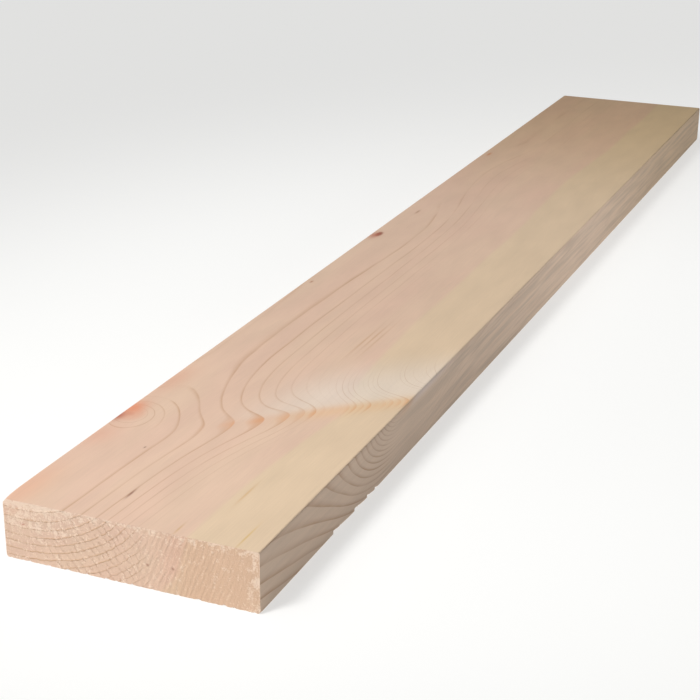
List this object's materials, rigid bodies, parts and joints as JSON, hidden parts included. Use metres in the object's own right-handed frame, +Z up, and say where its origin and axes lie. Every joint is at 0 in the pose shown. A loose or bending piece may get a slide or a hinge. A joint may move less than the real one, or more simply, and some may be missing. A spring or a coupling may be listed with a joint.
{
  "type": "timber plank",
  "caption": "Straight length of planed softwood timber with eased long arrises and square-sawn ends, lying flat on its wide face.",
  "frame": {"origin": "centre of the bottom wide face, on the surface it rests on", "axes": "+Y along the grain from the near end cut to the far end cut, +X across the wide faces towards the torn lower arris, +Z up through the thickness"},
  "size_m": [0.195, 1.4, 0.045],
  "materials": {
    "pine": "planed, unfinished"
  },
  "bodies": {
    "root": {"plank": "pine"}
  },
  "joints": []
}
